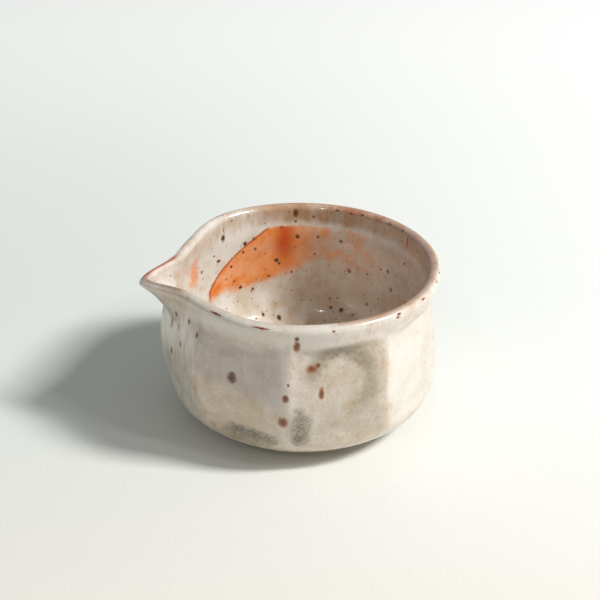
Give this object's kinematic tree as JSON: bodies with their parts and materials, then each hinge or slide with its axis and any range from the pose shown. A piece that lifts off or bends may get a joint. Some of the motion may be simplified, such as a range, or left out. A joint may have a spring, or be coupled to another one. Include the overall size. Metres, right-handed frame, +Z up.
{
  "type": "tea pitcher",
  "caption": "Small open stoneware tea pitcher with a pinched pouring spout, shaved flats round the wall and a turned foot.",
  "frame": {"origin": "under the middle of the bounding box, on the plane the foot stands on", "axes": "+Z up, the spout points along -X, +Y across"},
  "size_m": [0.1074, 0.0992, 0.0582],
  "materials": {
    "glazed_stoneware": "semi-gloss crackled off-white glaze with orange blush, iron spots and ash smudges",
    "spout_glaze": "semi-gloss glaze, thin and tan-brown at the edge",
    "bare_clay": "matt unglazed fired clay"
  },
  "bodies": {
    "root": {"bowl": "glazed_stoneware", "pouring_spout": "spout_glaze", "foot_ring": "bare_clay"}
  },
  "joints": []
}
